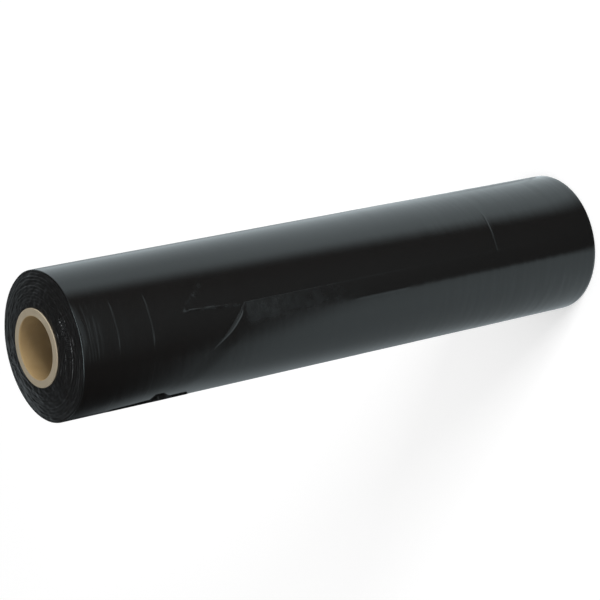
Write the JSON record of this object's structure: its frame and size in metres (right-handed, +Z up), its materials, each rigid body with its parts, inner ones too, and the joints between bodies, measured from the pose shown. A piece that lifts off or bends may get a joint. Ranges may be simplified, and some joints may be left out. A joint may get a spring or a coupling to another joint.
{
  "type": "roll of pallet covers",
  "caption": "Long roll of glossy black polythene film wound on a thick paperboard core, with a slid-out domed end and a torn loose corner.",
  "frame": {"origin": "on the floor, on the roll's axis, in the plane of the outermost turn's lower edge", "axes": "+Z up along the roll's axis towards the end whose inner turns stand out; -Y is the side with the film's free edge, +X a quarter turn from it"},
  "size_m": [0.1838, 0.1838, 0.8107],
  "materials": {
    "film": "glossy black low-density polythene film, wound tight",
    "board": "plain brown spiral-wound paperboard, sawn ends"
  },
  "bodies": {
    "root": {"film_roll": "film", "core_tube": "board"}
  },
  "joints": []
}
